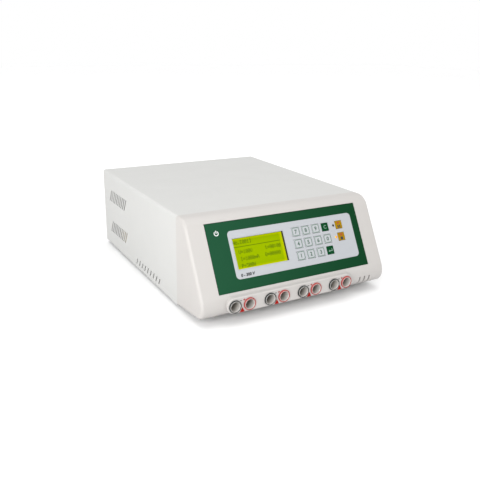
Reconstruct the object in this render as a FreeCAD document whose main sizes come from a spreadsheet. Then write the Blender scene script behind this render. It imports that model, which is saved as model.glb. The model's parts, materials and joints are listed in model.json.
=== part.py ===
import FreeCAD, Part
import math
import os
import Sketcher
from FreeCAD import Vector, Placement, Rotation

# Bench power supply: sheet-metal case with a moulded sloping front, keypad,
# graphic display, four pairs of shrouded 4 mm output sockets and a fan-cooled rear.
# Working frame: X across, Y from the nose of the front towards the rear, Z up from
# the case underside. Every sub-part is then placed so that the origin lies on the
# floor under the middle of the overall depth.

doc = FreeCAD.newDocument("BenchPowerSupply")
sheet = doc.addObject("Spreadsheet::Sheet", "Params")

DIMENSIONS = [
    # overall casing
    ("case_w", 270.0), ("case_h", 115.0), ("case_d", 349.0), ("foot_rise", 4.0), ("y_shift", 173.9),
    ("seam_y", 68.5), ("slant_y", 48.1), ("tilt", 61.3), ("edge_rad", 4.0), ("sheet_t", 1.2),
    ("lip_w", 14.0), ("tray_t", 1.2), ("tray_gap", 0.1), ("rear_t", 1.5),
    # moulded front
    ("wall", 3.2), ("nose_rad", 24.0), ("chin_rad", 14.0), ("brow_rad", 21.0), ("chin_z", 7.3),
    ("boss_rad", 10.0), ("boss_up", 0.6), ("boss_out", 4.5), ("recess", 2.0), ("panel_half", 111.0),
    ("panel_top", 7.9), ("panel_bot", 92.2), ("ledge", 5.0),
    ("vent_x", 95.3), ("vent_pitch", 7.8), ("vent_w", 2.5), ("vent_top", 20.0),
    # panel stack
    ("plate_t", 1.0), ("skin_t", 0.5), ("face_x0", -83.6), ("face_x1", 100.4), ("face_s0", 20.3),
    ("face_s1", 78.7), ("face_rad", 5.0), ("fit_gap", 0.15),
    ("lcd_x0", -79.7), ("lcd_x1", -6.6), ("lcd_s0", 29.2), ("lcd_s1", 68.2), ("lcd_deep", 4.3),
    ("key_w", 11.1), ("key_w2", 10.3), ("key_gap", 0.35), ("key_up", 0.35), ("key_travel", 0.6), ("flange_w", 13.2),
    ("board_n", 10.0), ("board_t", 1.6), ("led_rad", 1.5),
    # outputs
    ("sock_z", 20.4), ("collar_rad", 7.85), ("collar_in", 6.95), ("collar_t", 2.0), ("well_out", 6.85),
    ("well_in", 5.95), ("well_deep", 26.5), ("pin_rad", 3.0), ("pin_bore", 2.0), ("bore_len", 14.0),
    # louvres
    ("lv_pitch", 7.1), ("lv_w", 3.5), ("lv_lean", 10.9), ("lv_rear", 25.7), ("lv_high", 71.8), ("lv_low", 22.4),
    ("lv_tall", 18.2), ("sl_pitch", 10.3), ("sl_w", 3.0), ("sl_lean", 4.8), ("sl_y", 126.4), ("sl_z", 5.9), ("sl_tall", 9.0),
    # rear
    ("fan_x", -70.0), ("fan_z", 60.0), ("fan_w", 80.0), ("fan_t", 25.0), ("fan_bore", 38.0), ("fan_pitch", 71.5),
    ("inlet_x", 88.0), ("inlet_z", 50.0), ("switch_x", 88.0), ("switch_z", 92.0), ("earth_x", 30.0), ("earth_z", 30.0),
    ("rocker_tilt", 11.0),
]
for row, (alias, value) in enumerate(DIMENSIONS, 1):
    sheet.set("A%d" % row, alias)
    sheet.set("B%d" % row, repr(value))
    sheet.setAlias("B%d" % row, alias)
doc.recompute()


class Q:
    """A size that carries both its number and the sheet expression behind it."""
    def __init__(self, v, t):
        self.v, self.t = float(v), t

    def __add__(self, o):
        o = q(o)
        return Q(self.v + o.v, "(%s + %s)" % (self.t, o.t))

    def __radd__(self, o):
        return q(o) + self

    def __sub__(self, o):
        o = q(o)
        return Q(self.v - o.v, "(%s - %s)" % (self.t, o.t))

    def __rsub__(self, o):
        return q(o) - self

    def __mul__(self, o):
        o = q(o)
        return Q(self.v * o.v, "(%s * %s)" % (self.t, o.t))

    def __rmul__(self, o):
        return q(o) * self

    def __truediv__(self, o):
        o = q(o)
        return Q(self.v / o.v, "(%s / %s)" % (self.t, o.t))

    def __neg__(self):
        return Q(-self.v, "(0 - %s)" % self.t)


def q(a):
    return a if isinstance(a, Q) else Q(a, "(%s)" % repr(float(a)) if a < 0 else repr(float(a)))


def D(alias):
    return Q(sheet.get(alias), "Params." + alias)


def sind(a):
    return Q(math.sin(math.radians(a.v)), "sin(%s)" % a.t)


def cosd(a):
    return Q(math.cos(math.radians(a.v)), "cos(%s)" % a.t)


def bind(obj, prop, value):
    value = q(value)
    setattr(obj, prop, value.v)
    if "Params" in value.t:
        obj.setExpression(prop, value.t)


def G(x, y, z):
    """Working frame to the part's own frame."""
    return q(x), q(y) - D("y_shift"), q(z) + D("foot_rise")


def gv(x, y, z):
    return Vector(*[c.v for c in G(x, y, z)])


def panel(x, s, n=0.0):
    """Point on the sloping panel: x across, s down the slope from the brow, n outwards."""
    s, n = q(s), q(n)
    return G(x, D("slant_y") - s * cosd(D("tilt")) - n * sind(D("tilt")), D("case_h") - s * sind(D("tilt")) + n * cosd(D("tilt")))


def place(obj, xyz, axis=None, angle=None):
    xyz = [q(c) for c in xyz]
    rot = Rotation(axis, q(angle).v) if axis else Rotation()
    obj.Placement = Placement(Vector(*[c.v for c in xyz]), rot)
    for name, c in zip("xyz", xyz):
        if "Params" in c.t:
            obj.setExpression("Placement.Base." + name, c.t)
    return obj


def on_panel(obj, x, s, n=0.0):
    return place(obj, panel(x, s, n), Vector(1, 0, 0), D("tilt"))


NODES = {}


def node(obj, name):
    obj.Label = name
    NODES[name] = obj
    return obj


# ---------- sketch and feature helpers ----------
def body(name):
    return doc.addObject("PartDesign::Body", "Body_" + name)


def sketch(b, role, offset=None):
    s = b.newObject("Sketcher::SketchObject", "Sketch")
    plane = [o for o in b.Origin.OriginFeatures if o.Role == role][0]
    s.AttachmentSupport = (plane, "")
    s.MapMode = "FlatFace"
    if offset is not None:
        s.AttachmentOffset = offset
    return s


def pin_point(s, g, p, x, y):
    for kind, val in (("DistanceX", q(x)), ("DistanceY", q(y))):
        i = s.addConstraint(Sketcher.Constraint(kind, -1, 1, g, p, val.v))
        if "Params" in val.t:
            s.setExpression("Constraints[%d]" % i, val.t)


def poly(s, pts):
    n = len(pts)
    v = [Vector(q(x).v, q(y).v, 0) for x, y in pts]
    ids = [s.addGeometry(Part.LineSegment(v[i], v[(i + 1) % n]), False) for i in range(n)]
    for i in range(n):
        s.addConstraint(Sketcher.Constraint("Coincident", ids[i], 2, ids[(i + 1) % n], 1))
    for i in range(n):
        pin_point(s, ids[i], 1, *pts[i])


def rect(s, x0, y0, x1, y1):
    poly(s, [(x0, y0), (x1, y0), (x1, y1), (x0, y1)])


def circle(s, x, y, r):
    r = q(r)
    g = s.addGeometry(Part.Circle(Vector(q(x).v, q(y).v, 0), Vector(0, 0, 1), r.v), False)
    pin_point(s, g, 3, x, y)
    i = s.addConstraint(Sketcher.Constraint("Radius", g, r.v))
    if "Params" in r.t:
        s.setExpression("Constraints[%d]" % i, r.t)


def capsule(s, x0, x1, y, r):
    x0, x1, y, r = q(x0), q(x1), q(y), q(r)
    a = s.addGeometry(Part.ArcOfCircle(Part.Circle(Vector(x0.v, y.v, 0), Vector(0, 0, 1), r.v), math.pi / 2, 3 * math.pi / 2), False)
    l1 = s.addGeometry(Part.LineSegment(Vector(x0.v, y.v - r.v, 0), Vector(x1.v, y.v - r.v, 0)), False)
    b = s.addGeometry(Part.ArcOfCircle(Part.Circle(Vector(x1.v, y.v, 0), Vector(0, 0, 1), r.v), -math.pi / 2, math.pi / 2), False)
    l2 = s.addGeometry(Part.LineSegment(Vector(x1.v, y.v + r.v, 0), Vector(x0.v, y.v + r.v, 0)), False)
    s.addConstraint(Sketcher.Constraint("Tangent", a, 2, l1, 1))
    s.addConstraint(Sketcher.Constraint("Tangent", l1, 2, b, 1))
    s.addConstraint(Sketcher.Constraint("Tangent", b, 2, l2, 1))
    s.addConstraint(Sketcher.Constraint("Tangent", l2, 2, a, 1))
    pin_point(s, a, 3, x0, y)
    i = s.addConstraint(Sketcher.Constraint("DistanceX", -1, 1, b, 3, x1.v))
    if "Params" in x1.t:
        s.setExpression("Constraints[%d]" % i, x1.t)
    i = s.addConstraint(Sketcher.Constraint("Radius", a, r.v))
    if "Params" in r.t:
        s.setExpression("Constraints[%d]" % i, r.t)


def feature(b, kind, s, length, both=False, flip=False):
    f = b.newObject("PartDesign::" + kind, kind)
    f.Profile = s
    bind(f, "Length", length)
    if both:
        if hasattr(f, "SideType"):
            f.SideType = "Symmetric"
        else:
            f.Midplane = True
    # flip=False builds or cuts along the sketch normal, flip=True against it
    f.Reversed = flip if kind == "Pad" else not flip
    before = None
    prev = f.BaseFeature
    if prev is not None:
        before = prev.Shape.Volume
    doc.recompute()
    if before is not None:
        change = f.Shape.Volume - before
        if (kind == "Pocket" and change > -1e-6) or (kind == "Pad" and change < 1e-6):
            raise RuntimeError("%s on %s changed nothing" % (kind, b.Label))
    return f


def pad(b, s, length, **k):
    return feature(b, "Pad", s, length, **k)


def pocket(b, s, length, **k):
    return feature(b, "Pocket", s, length, **k)


def fillet(b, f, radius, test):
    names = ["Edge%d" % (i + 1) for i, e in enumerate(f.Shape.Edges) if test(e)]
    if not names:
        raise RuntimeError("no edge to round on " + b.Label)
    r = b.newObject("PartDesign::Fillet", "Fillet")
    r.Base = (f, names)
    bind(r, "Radius", radius)
    doc.recompute()
    return r


def along(e, axis, length=None):
    if e.Curve.TypeId != "Part::GeomLine" or len(e.Vertexes) != 2:
        return False
    d = e.Vertexes[1].Point - e.Vertexes[0].Point
    if length is not None and abs(d.Length - length) > 0.01:
        return False
    d.normalize()
    return abs(abs(d.dot(axis)) - 1) < 1e-6


def mid(e):
    return (e.Vertexes[0].Point + e.Vertexes[-1].Point) * 0.5


X, Y, Z = Vector(1, 0, 0), Vector(0, 1, 0), Vector(0, 0, 1)


# ---------- Part workbench helpers ----------
def box(x0, y0, z0, x1, y1, z1):
    o = doc.addObject("Part::Box", "Box")
    a, b = [q(c) for c in (x0, y0, z0)], [q(c) for c in (x1, y1, z1)]
    bind(o, "Length", b[0] - a[0])
    bind(o, "Width", b[1] - a[1])
    bind(o, "Height", b[2] - a[2])
    return place(o, G(*a))


def cyl(r, length, xyz, axis="z"):
    o = doc.addObject("Part::Cylinder", "Cylinder")
    bind(o, "Radius", r)
    bind(o, "Height", length)
    turn = {"z": (None, None), "y": (Vector(1, 0, 0), -90.0), "x": (Vector(0, 1, 0), 90.0)}[axis]
    return place(o, G(*xyz), *turn)


def cut(base, tool):
    o = doc.addObject("Part::Cut", "Cut")
    o.Base, o.Tool = base, tool
    return o


def fuse(*objs):
    o = doc.addObject("Part::MultiFuse", "Fuse")
    o.Shapes = list(objs)
    return o


def group(*objs):
    o = doc.addObject("Part::Compound", "Group")
    o.Links = list(objs)
    return o


def shaped(shape, name):
    o = doc.addObject("Part::Feature", "Shape_" + name)
    where = shape.Placement
    o.Shape = shape
    o.Placement = where
    return node(o, name)


def turned(profile, at, direction):
    """Solid of revolution: (radius, height) outline, axis through `at` along `direction`."""
    w = Part.makePolygon([Vector(r, 0, h) for r, h in profile + [profile[0]]])
    s = Part.Face(w).revolve(Vector(0, 0, 0), Vector(0, 0, 1), 360)
    if s.Volume < 0:
        s.reverse()
    s.Placement = Placement(at, Rotation(Vector(0, 0, 1), direction))
    return s


def screw(at, direction, head_r, head_t, shank_r, shank_l):
    """Pan-head screw: head stands off `at` against `direction`, shank runs along it."""
    s = turned([(0, -head_t), (head_r * 0.8, -head_t), (head_r, -head_t * 0.55), (head_r, 0), (shank_r, 0), (shank_r, shank_l - 0.6), (shank_r - 0.5, shank_l), (0, shank_l)], at, direction)
    for a in (0, 90):
        k = Part.makeBox(head_r * 1.1, 0.7, head_t * 0.5, Vector(-head_r * 0.55, -0.35, -head_t))
        k.rotate(Vector(0, 0, 0), Vector(0, 0, 1), a)
        k.Placement = Placement(at, Rotation(Vector(0, 0, 1), direction)).multiply(k.Placement)
        s = s.cut(k)
    return s


# =====================================================================
# Casing
# =====================================================================
W, H, seam = D("case_w"), D("case_h"), D("seam_y")
half = W / 2.0
t = D("sheet_t")

# top_cover: folded sheet wrapped over the top and both sides, returned under as lips
b = body("top_cover")
s = sketch(b, "XZ_Plane", Placement(Vector(0, 0, -D("seam_y").v), Rotation()))
rect(s, -half, 0, half, H)
cover_len = D("case_d") - seam
f = pad(b, s, cover_len, flip=True)
f = fillet(b, f, D("edge_rad"), lambda e: along(e, Y) and mid(e).z > H.v - 0.1)
f = fillet(b, f, 1.8, lambda e: along(e, Y) and mid(e).z < 0.1)
s = sketch(b, "XZ_Plane", Placement(Vector(0, 0, -D("seam_y").v), Rotation()))
rect(s, -half + t, t, half - t, H - t)
f = pocket(b, s, cover_len, flip=True)
f = fillet(b, f, D("edge_rad") - t, lambda e: along(e, Y) and abs(mid(e).z - (H - t).v) < 0.1 and abs(abs(mid(e).x) - (half - t).v) < 0.1)
s = sketch(b, "XZ_Plane", Placement(Vector(0, 0, -D("seam_y").v), Rotation()))
rect(s, -half + D("lip_w"), -1.0, half - D("lip_w"), t + 1.0)
f = pocket(b, s, cover_len, flip=True)


def leaning_slots(b, y0, z0, tall, lean, wide, pitch, count):
    """Row of slots leaning forwards, cut through both side walls and patterned along Y."""
    s = sketch(b, "YZ_Plane")
    y0, z0, tall, lean, wide = q(y0), q(z0), q(tall), q(lean), q(wide)
    poly(s, [(y0, z0), (y0 + wide, z0), (y0 + wide - lean, z0 + tall), (y0 - lean, z0 + tall)])
    p = pocket(b, s, W + 10.0, both=True)
    pat = b.newObject("PartDesign::LinearPattern", "LinearPattern")
    pat.Originals = [p]
    pat.Direction = ([o for o in b.Origin.OriginFeatures if o.Role == "Y_Axis"][0], [""])
    if hasattr(pat, "Mode"):
        pat.Mode = "Extent"
    bind(pat, "Length", pitch * float(count - 1))
    pat.Occurrences = count
    before = p.Shape.Volume
    b.Tip = pat
    doc.recompute()
    if pat.Shape.Volume >= before - 1e-6:
        raise RuntimeError("slot pattern cut nothing")
    return pat


lv0 = D("case_d") - D("lv_rear") - D("lv_w") - D("lv_pitch") * 9.0
f = leaning_slots(b, lv0, D("lv_high"), D("lv_tall"), D("lv_lean"), D("lv_w"), D("lv_pitch"), 10)
f = leaning_slots(b, lv0, D("lv_low"), D("lv_tall"), D("lv_lean"), D("lv_w"), D("lv_pitch"), 10)
f = leaning_slots(b, D("sl_y"), D("sl_z"), D("sl_tall"), D("sl_lean"), D("sl_w"), D("sl_pitch"), 9)
s = sketch(b, "XY_Plane")
for sx in (-1, 1):
    for yy in (95.0, 210.0, 325.0):
        circle(s, (half - D("lip_w") / 2.0) * float(sx), yy, 1.6)
f = pocket(b, s, 2.0)
b.Tip = f
place(b, G(0, 0, 0))
node(b, "top_cover")

# base_tray: floor sheet lying on the cover's lips, with a low front flange and two ears
tz = t + D("tray_gap")
tt = D("tray_t")
b = body("base_tray")
s = sketch(b, "XY_Plane", Placement(Vector(0, 0, tz.v), Rotation()))
rect(s, -half + t + 0.3, seam + 1.0, half - t - 0.3, D("case_d") - D("rear_t") - 0.6)
f = pad(b, s, tt)
s = sketch(b, "XZ_Plane", Placement(Vector(0, 0, -(seam + 1.0).v), Rotation()))
poly(s, [(-half + 3.0, tz), (half - 3.0, tz), (half - 3.0, 48.0), (half - 24.0, 48.0), (half - 24.0, 7.0), (-half + 24.0, 7.0), (-half + 24.0, 48.0), (-half + 3.0, 48.0)])
f = pad(b, s, tt, flip=True)
s = sketch(b, "XZ_Plane", Placement(Vector(0, 0, -(seam - 1.0).v), Rotation()))
for sx in (-1, 1):
    for zz in (12.5, 40.0):
        circle(s, 118.0 * sx, zz, 1.7)
f = pocket(b, s, 5.0, flip=True)
s = sketch(b, "XY_Plane")
for sx in (-1, 1):
    for yy in (95.0, 210.0, 325.0):
        circle(s, (half - D("lip_w") / 2.0) * float(sx), yy, 1.3)
    for yy in (92.0, 318.0):
        circle(s, 104.0 * sx, yy, 1.7)
for xx in (-10.0, 110.0):
    for yy in (103.0, 205.0, 307.0):
        circle(s, xx, yy, 1.7)
f = pocket(b, s, 6.0)
b.Tip = f
place(b, G(0, 0, 0))
node(b, "base_tray")

# rear_panel: flat plate closing the back, pierced for the fan, inlet, switch and earth post
b = body("rear_panel")
ry = D("case_d") - D("rear_t") - 0.3
s = sketch(b, "XZ_Plane", Placement(Vector(0, 0, -ry.v), Rotation()))
rect(s, -half + t + 0.3, t + 0.1, half - t - 0.3, H - t - 0.3)
f = pad(b, s, D("rear_t"), flip=True)
f = fillet(b, f, 3.0, lambda e: along(e, Y) and mid(e).z > 100)
s = sketch(b, "XZ_Plane", Placement(Vector(0, 0, -(ry - 1.0).v), Rotation()))
circle(s, D("fan_x"), D("fan_z"), D("fan_bore"))
for sx in (-1, 1):
    for sz in (-1, 1):
        circle(s, D("fan_x") + D("fan_pitch") / 2.0 * float(sx), D("fan_z") + D("fan_pitch") / 2.0 * float(sz), 2.2)
rect(s, D("inlet_x") - 14.2, D("inlet_z") - 16.2, D("inlet_x") + 14.2, D("inlet_z") + 14.2)
rect(s, D("switch_x") - 7.4, D("switch_z") - 12.2, D("switch_x") + 7.4, D("switch_z") + 12.2)
circle(s, D("earth_x"), D("earth_z"), 2.2)
f = pocket(b, s, 6.0, flip=True)
b.Tip = f
place(b, G(0, 0, 0))
node(b, "rear_panel")

# front_bezel: moulded shell with sloping face, rounded nose and rising chin
b = body("front_bezel")
ca, sa = cosd(D("tilt")), sind(D("tilt"))
nose_z = H - D("slant_y") * sa / ca
s = sketch(b, "YZ_Plane")
poly(s, [(seam, 0), (0, D("chin_z")), (0, nose_z), (D("slant_y"), H), (seam, H)])
f = pad(b, s, W, both=True)


def near(e, y, z):
    return along(e, X) and abs(mid(e).y - y) < 0.2 and abs(mid(e).z - z) < 0.2


f = fillet(b, f, D("brow_rad"), lambda e: near(e, D("slant_y").v, H.v))
f = fillet(b, f, D("nose_rad"), lambda e: near(e, 0, nose_z.v))
f = fillet(b, f, D("chin_rad"), lambda e: near(e, 0, D("chin_z").v))
f = fillet(b, f, D("edge_rad"), lambda e: all(abs(abs(v.Point.x) - half.v) < 1e-4 for v in e.Vertexes) and not along(e, X) and not all(abs(v.Point.y - seam.v) < 1e-4 for v in e.Vertexes))
w = D("wall")
top_in = H - w
slope = ca / sa
y_slant = D("slant_y") + w / sa
s = sketch(b, "YZ_Plane")
zin = H - (y_slant - w) / slope
chin_fall = math.degrees(math.atan2(D("chin_z").v, seam.v))
cz = D("chin_z") - D("chin_z") * D("chin_rad") / seam + D("chin_rad") / math.cos(math.radians(chin_fall))
ci = D("chin_rad") - w
chin_pts = []
for k in range(5):
    a_ = math.radians(270.0 - chin_fall + (180.0 - (270.0 - chin_fall)) * k / 4.0)
    chin_pts.append((D("chin_rad") + ci * math.cos(a_), cz + ci * math.sin(a_)))
poly(s, [(seam + 5.0, w - 0.5)] + chin_pts + [(w, zin), (y_slant - w * slope, top_in), (seam + 5.0, top_in)])
f = pocket(b, s, W - w * 2.0, both=True)
f = fillet(b, f, D("brow_rad") - w, lambda e: near(e, (y_slant - w * slope).v, top_in.v))
f = fillet(b, f, D("nose_rad") - w, lambda e: near(e, w.v, zin.v))
# capsule-shaped boss strip round the sockets
SOCK_X = [-94.5, -75.1, -46.8, -27.5, 0.8, 20.0, 48.2, 67.6]
s = sketch(b, "XZ_Plane", Placement(Vector(0, 0, D("boss_out").v), Rotation()))
capsule(s, SOCK_X[0], SOCK_X[-1], D("sock_z") + D("boss_up"), D("boss_rad"))
f = pad(b, s, D("boss_out") + 8.0, flip=True)
f = fillet(b, f, 1.6, lambda e: all(abs(v.Point.y + D("boss_out").v) < 1e-4 for v in e.Vertexes) and abs(e.CenterOfMass.y + D("boss_out").v) < 1e-4)
s = sketch(b, "XZ_Plane", Placement(Vector(0, 0, D("boss_out").v + 1.0), Rotation()))
for xx in SOCK_X:
    circle(s, xx, D("sock_z"), D("well_out") + 0.15)
f = pocket(b, s, 20.0, flip=True)
# sloping panel seat and the opening behind it
slope_frame = Placement(Vector(0, H.v, -D("slant_y").v), Rotation(Vector(1, 0, 0), -(90.0 - D("tilt").v)))
s = sketch(b, "XZ_Plane", slope_frame)
rect(s, -D("panel_half"), -D("panel_bot"), D("panel_half"), -D("panel_top"))
f = pocket(b, s, D("recess"), flip=True)
s = sketch(b, "XZ_Plane", slope_frame)
rect(s, -D("panel_half") + D("ledge"), -D("panel_bot") + D("ledge"), D("panel_half") - D("ledge"), -D("panel_top") - D("ledge"))
f = pocket(b, s, 8.0, flip=True)
# vertical vents wrapping under the chin at the right
s = sketch(b, "XZ_Plane", Placement(Vector(0, 0, 1.0), Rotation()))
for i in range(3):
    xc = D("vent_x") + D("vent_pitch") * float(i)
    rect(s, xc - D("vent_w") / 2.0, -1.0, xc + D("vent_w") / 2.0, D("vent_top"))
f = pocket(b, s, 17.0, flip=True)
# screw pillars running back to the tray's ears
for zz, start in ((12.5, 5.0), (40.0, 11.5)):
    s = sketch(b, "XZ_Plane", Placement(Vector(0, 0, -start), Rotation()))
    for sx in (-1, 1):
        circle(s, 118.0 * sx, zz, 4.2)
    f = pad(b, s, seam + 0.9 - start, flip=True)
s = sketch(b, "XZ_Plane", Placement(Vector(0, 0, -(seam + 0.9).v), Rotation()))
for sx in (-1, 1):
    for zz in (12.5, 40.0):
        circle(s, 118.0 * sx, zz, 1.6)
f = pocket(b, s, 14.0)
b.Tip = f
place(b, G(0, 0, 0))
node(b, "front_bezel")

# feet and the fasteners of the casing
feet, fs = [], []
for sx in (-1, 1):
    for yy in (92.0, 318.0):
        feet.append(turned([(1.8, -1.8), (3.9, -1.8), (3.9, -4.0), (8.2, -4.0), (8.8, -3.2), (9.3, tz.v - 0.02), (1.8, tz.v - 0.02)], gv(104.0 * sx, yy, 0), Z))
        fs.append(screw(gv(104.0 * sx, yy, -1.82), Z, 3.2, 1.5, 1.5, 9.0))
shaped(Part.makeCompound(feet), "feet")
shaped(Part.makeCompound(fs), "foot_screws")
cs = [screw(gv((half.v - D("lip_w").v / 2) * sx, yy, -0.02), Z, 2.6, 1.4, 1.25, 6.0) for sx in (-1, 1) for yy in (95.0, 210.0, 325.0)]
shaped(Part.makeCompound(cs), "cover_screws")
bs = [screw(gv(118.0 * sx, seam.v + 1.0 + tt.v + 0.02, zz), -Y, 3.0, 2.0, 1.5, 14.0) for sx in (-1, 1) for zz in (12.5, 40.0)]
shaped(Part.makeCompound(bs), "bezel_screws")

# =====================================================================
# Sloping control panel (bodies drawn flat, then tilted)
# =====================================================================
KEYS = [("key_7", 11.3, 34.1, "w"), ("key_8", 26.4, 34.1, "w"), ("key_9", 41.7, 34.1, "w"), ("key_clear", 56.6, 34.1, "n"),
        ("key_4", 11.3, 49.5, "w"), ("key_5", 26.4, 49.5, "w"), ("key_6", 41.7, 49.5, "w"), ("key_0", 56.6, 49.5, "w"),
        ("key_1", 11.3, 64.7, "w"), ("key_2", 26.4, 64.7, "w"), ("key_3", 41.7, 64.7, "w"), ("key_enter", 56.6, 64.7, "n"),
        ("key_start", 78.8, 33.9, "n"), ("key_stop", 78.9, 49.6, "n")]
LEDS = [("led_idle", 70.3, 33.9), ("led_active", 70.6, 49.5)]


def key_size(kind):
    return D("key_w") if kind == "w" else D("key_w2")


def key_windows(s):
    for name, cx, cs_, kind in KEYS:
        r = key_size(kind) / 2.0 + D("key_gap")
        rect(s, q(cx) - r, q(-cs_) - r, q(cx) + r, q(-cs_) + r)
    for name, cx, cs_ in LEDS:
        circle(s, cx, -cs_, D("led_rad") + 0.1)


def flat_plate(name, x0, s0, x1, s1, n_top, thick, rad=None, keys=True, lcd=True, extra=None):
    b = body(name)
    n_top, thick = q(n_top), q(thick)
    s = sketch(b, "XY_Plane")
    rect(s, x0, -q(s1), x1, -q(s0))
    f = pad(b, s, thick, flip=True)
    if rad is not None:
        f = fillet(b, f, rad, lambda e: along(e, Z))
    if keys or lcd:
        s = sketch(b, "XY_Plane")
        if keys:
            key_windows(s)
        if lcd:
            rect(s, D("lcd_x0"), -D("lcd_s1"), D("lcd_x1"), -D("lcd_s0"))
        f = pocket(b, s, thick + 1.0, flip=True)
    if extra:
        f = extra(b, f, thick)
    b.Tip = f
    on_panel(b, 0.0, 0.0, n_top)
    node(b, name)
    return b


g = D("fit_gap")
plate_n = -D("recess") + D("plate_t")
flat_plate("panel_plate", -D("panel_half") + g, D("panel_top") + g, D("panel_half") - g, D("panel_bot") - g, plate_n, D("plate_t") - 0.01)


def face_window(b, f, thick):
    s = sketch(b, "XY_Plane")
    rect(s, D("face_x0") - 0.05, -D("face_s1") - 0.05, D("face_x1") + 0.05, -D("face_s0") + 0.05)
    f = pocket(b, s, thick + 1.0, flip=True)
    return fillet(b, f, D("face_rad") + 0.05, lambda e: along(e, Z) and abs(mid(e).x) < 105)


flat_plate("panel_overlay", -D("panel_half") + g, D("panel_top") + g, D("panel_half") - g, D("panel_bot") - g, plate_n + D("skin_t"), D("skin_t"), keys=False, lcd=False, extra=face_window)
flat_plate("keypad_face", D("face_x0"), D("face_s0"), D("face_x1"), D("face_s1"), plate_n + D("skin_t"), D("skin_t"), rad=D("face_rad"))
skin_n = plate_n + D("skin_t")

# lcd_surround: black moulding that lines the display window, with a flange behind the plate
b = body("lcd_surround")
deep = D("lcd_deep") + skin_n
s = sketch(b, "XY_Plane")
rect(s, D("lcd_x0") - 4.0, -D("lcd_s1") - 4.0, D("lcd_x1") + 4.0, -D("lcd_s0") + 4.0)
f = pad(b, s, 1.0)
s = sketch(b, "XY_Plane")
rect(s, D("lcd_x0") + 0.1, -D("lcd_s1") + 0.1, D("lcd_x1") - 0.1, -D("lcd_s0") - 0.1)
f = pad(b, s, D("lcd_deep") - 0.55)
s = sketch(b, "XY_Plane", Placement(Vector(0, 0, -1.0), Rotation()))
rect(s, D("lcd_x0") + 0.9, -D("lcd_s1") + 0.9, D("lcd_x1") - 0.9, -D("lcd_s0") - 0.9)
f = pocket(b, s, 12.0)
b.Tip = f
on_panel(b, 0.0, 0.0, -D("lcd_deep"))
node(b, "lcd_surround")

# lcd_glass and its board
b = body("lcd_glass")
s = sketch(b, "XY_Plane")
rect(s, D("lcd_x0") - 3.0, -D("lcd_s1") - 3.0, D("lcd_x1") + 3.0, -D("lcd_s0") + 3.0)
f = pad(b, s, 2.8, flip=True)
b.Tip = f
on_panel(b, 0.0, 0.0, -D("lcd_deep") - 0.02)
node(b, "lcd_glass")

b = body("lcd_board")
s = sketch(b, "XY_Plane")
rect(s, -89.5, -82.5, -2.5, -15.0)
f = pad(b, s, D("board_t"), flip=True)
s = sketch(b, "XY_Plane")
rect(s, D("lcd_x0") - 2.0, -D("lcd_s1") - 2.0, D("lcd_x1") + 2.0, -D("lcd_s0") + 2.0)
f = pad(b, s, D("board_n") - D("lcd_deep") - 2.9)
s = sketch(b, "XY_Plane", Placement(Vector(0, 0, 1.0), Rotation()))
for xx in (-86.5, -5.5):
    for ss in (18.0, 79.5):
        circle(s, xx, -ss, 1.3)
f = pocket(b, s, 6.0, flip=True)
b.Tip = f
on_panel(b, 0.0, 0.0, -D("board_n"))
node(b, "lcd_board")

# keypad_board
b = body("keypad_board")
s = sketch(b, "XY_Plane")
rect(s, 1.5, -79.5, 92.0, -20.0)
f = pad(b, s, D("board_t"), flip=True)
s = sketch(b, "XY_Plane", Placement(Vector(0, 0, 1.0), Rotation()))
for xx in (5.0, 88.5):
    for ss in (23.5, 76.0):
        circle(s, xx, -ss, 1.3)
f = pocket(b, s, 6.0, flip=True)
b.Tip = f
on_panel(b, 0.0, 0.0, -D("board_n"))
node(b, "keypad_board")

tilt_pl = Placement(Vector(*[c.v for c in panel(0, 0, 0)]), Rotation(Vector(1, 0, 0), D("tilt").v))


def in_panel(shape):
    shape.Placement = tilt_pl.multiply(shape.Placement)
    return shape


# panel_studs: threaded spacers with an end screw, from the plate back to both boards
st = []
for xx, ss in [(-86.5, 18.0), (-86.5, 79.5), (-5.5, 18.0), (-5.5, 79.5), (5.0, 23.5), (5.0, 76.0), (88.5, 23.5), (88.5, 76.0)]:
    bn = D("board_n").v
    r = turned([(0, -D("recess").v - 0.02), (2.0, -D("recess").v - 0.02), (2.0, -bn + 0.02), (1.2, -bn + 0.02), (1.2, -bn - 1.62), (2.0, -bn - 1.62), (2.0, -bn - 2.8), (0, -bn - 2.8)], Vector(xx, -ss, 0), Z)
    st.append(in_panel(r))
shaped(Part.makeCompound(st), "panel_studs")

# tact_switches: one push switch under each key
sw = []
for name, cx, ss, kind in KEYS:
    base = Part.makeBox(6, 6, 3.4, Vector(cx - 3, -ss - 3, -D("board_n").v + 0.02))
    stem = Part.makeCylinder(1.7, 0.5, Vector(cx, -ss, -D("board_n").v + 3.42))
    sw.append(in_panel(base.fuse(stem)))
shaped(Part.makeCompound(sw), "tact_switches")

# keys: cap, retaining flange behind the plate, and a plunger above the switch
for name, cx, ss, kind in KEYS:
    b = body(name)
    kw = key_size(kind) / 2.0
    s = sketch(b, "XY_Plane")
    rect(s, -kw, -kw, kw, kw)
    top = D("key_up") + skin_n
    f = pad(b, s, D("recess") + 0.2 + top)
    f = fillet(b, f, 1.5, lambda e: along(e, Z))
    f = fillet(b, f, 0.25, lambda e: all(abs(v.Point.z - (D("recess") + 0.2 + top).v) < 1e-4 for v in e.Vertexes) and abs(e.CenterOfMass.z - (D("recess") + 0.2 + top).v) < 1e-4)
    s = sketch(b, "XY_Plane")
    fw = D("flange_w") / 2.0
    rect(s, -fw, -fw, fw, fw)
    f = pad(b, s, 0.8, flip=True)
    s = sketch(b, "XY_Plane", Placement(Vector(0, 0, -0.8), Rotation()))
    circle(s, 0.0, 0.0, 2.0)
    f = pad(b, s, 2.2, flip=True)
    b.Tip = f
    on_panel(b, cx, ss, -D("recess") - 0.2)
    node(b, name)

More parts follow.
